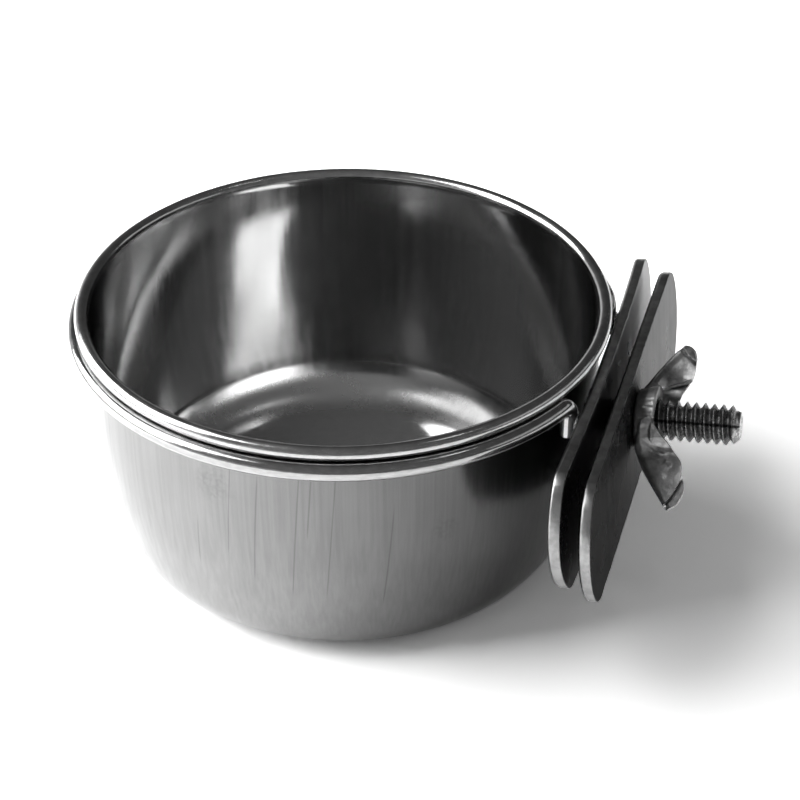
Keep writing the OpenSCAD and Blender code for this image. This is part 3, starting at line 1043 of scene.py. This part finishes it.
def place_camera():
    back = Vector((math.sin(AZIMUTH) * math.cos(ELEVATION), -math.cos(AZIMUTH) * math.cos(ELEVATION),
                   math.sin(ELEVATION)))
    right = Vector((math.cos(AZIMUTH), math.sin(AZIMUTH), 0))
    up = back.cross(right)
    aim = AIM - right * AIM_LEFT + up * AIM_UP
    data = bpy.data.cameras.new("camera")
    data.lens = LENS
    data.sensor_width = SENSOR
    data.clip_start = 0.01
    camera = bpy.data.objects.new("camera", data)
    bpy.context.scene.collection.objects.link(camera)
    turn = Matrix((right, up, back)).transposed().to_4x4()
    camera.matrix_world = Matrix.Translation((aim + back * DISTANCE) * MM) @ turn
    bpy.context.scene.camera = camera


place_camera()


# Floor and light. The floor is a plain pale one for the light that falls on it, and whiter where it is seen,
# straight or in the steel. There it also turns to a white that takes no shadow, between these two distances
# from the cup in metres
FLOOR_SIZE = 6
FLOOR_PALE = (0.8, 0.8, 0.8, 1)
FLOOR_SEEN = (1.95, 1.95, 1.95, 1)
FLOOR_WHITE = (1, 1, 1, 1)
FLOOR_FADE = (0.3, 1.0)

# The world's directions and levels: it is lighter towards the front left, with a pale strip above the horizon
# at the left, which fades out between these two heights of the sky
FRONT_LEFT = (-0.42, -0.91, 0.0)
LEFT = (-0.99, -0.14, 0.0)
WORLD_DARK = 0.06
WORLD_LIGHT = 0.24
STRIP_LIGHT = 0.8
STRIP_FADE = (0.14, 0.42)

# Each lamp's azimuth, lowest and highest elevation and width in degrees, its radiance, and its distance in
# metres
LAMPS = {"window_low": (187, 14, 48, 66, 6.4, 0.5),
         "window_high": (196, 47, 66, 56, 5.0, 1.5),
         "lamp_above": (13, 67, 71, 20, 4.0, 1.5),
         "fill_right": (15, 15, 31, 60, 0.6, 1.5)}


def lay_floor():
    deselect()
    bpy.ops.mesh.primitive_plane_add(size=FLOOR_SIZE)
    floor = bpy.context.object
    floor.name = "floor"
    material = bpy.data.materials.new("pale_floor")
    material.use_nodes = True
    tree = material.node_tree
    path = add(tree, "LightPath").outputs
    seen = maths(tree, "MAXIMUM", path["Is Camera Ray"], path["Is Glossy Ray"])
    seen = maths(tree, "MAXIMUM", seen, path["Is Transmission Ray"])
    colour = add(tree, "Mix", {"Factor": seen, "A": FLOOR_PALE, "B": FLOOR_SEEN}, data_type="RGBA")
    away = vector_maths(tree, "LENGTH", add(tree, "TexCoord").outputs["Object"])
    glow = times(tree, seen, remap(tree, away, *FLOOR_FADE))
    feed(tree, tree.nodes["Principled BSDF"], {
        "Base Color": colour.outputs["Result"], "Roughness": 1.0, "Specular IOR Level": 0.0,
        "Emission Color": FLOOR_WHITE, "Emission Strength": glow})
    floor.data.materials.append(material)


def light_world():
    world = bpy.data.worlds.new("studio")
    bpy.context.scene.world = world
    world.use_nodes = True
    tree = world.node_tree
    way = add(tree, "TexCoord").outputs["Generated"]
    height = add(tree, "SeparateXYZ", {0: way}).outputs["Z"]
    front_left = vector_maths(tree, "DOT_PRODUCT", way, FRONT_LEFT)
    left = vector_maths(tree, "DOT_PRODUCT", way, LEFT)
    level = remap(tree, front_left, -0.75, 0.75, WORLD_DARK, WORLD_LIGHT, smooth=False)
    strip = times(tree, remap(tree, left, -0.3, 0.5), remap(tree, height, *STRIP_FADE, STRIP_LIGHT, 0.0))
    feed(tree, tree.nodes["Background"], {"Color": maths(tree, "MAXIMUM", level, strip)})


def hang_softbox(name, azimuth, low, high, wide, radiance, distance):
    """An upright lamp that fills a piece of the sky."""
    tall = math.radians(high - low) / 2
    middle = math.radians(high + low) / 2
    turn = math.radians(azimuth)
    way = Vector((math.cos(turn) * math.cos(middle), math.sin(turn) * math.cos(middle), math.sin(middle)))
    data = bpy.data.lights.new(name, "AREA")
    data.shape = "RECTANGLE"
    data.size = 2 * distance * math.tan(math.radians(wide) / 2) * math.cos(middle)
    data.size_y = 2 * distance * math.tan(tall)
    data.energy = radiance * math.pi * data.size * data.size_y
    lamp = bpy.data.objects.new(name, data)
    bpy.context.scene.collection.objects.link(lamp)
    lamp.location = way * distance
    lamp.rotation_euler = (-way).to_track_quat("-Z", "Y").to_euler()


lay_floor()
light_world()
for name, values in LAMPS.items():
    hang_softbox(name, *values)
bpy.context.scene.view_settings.view_transform = "Standard"
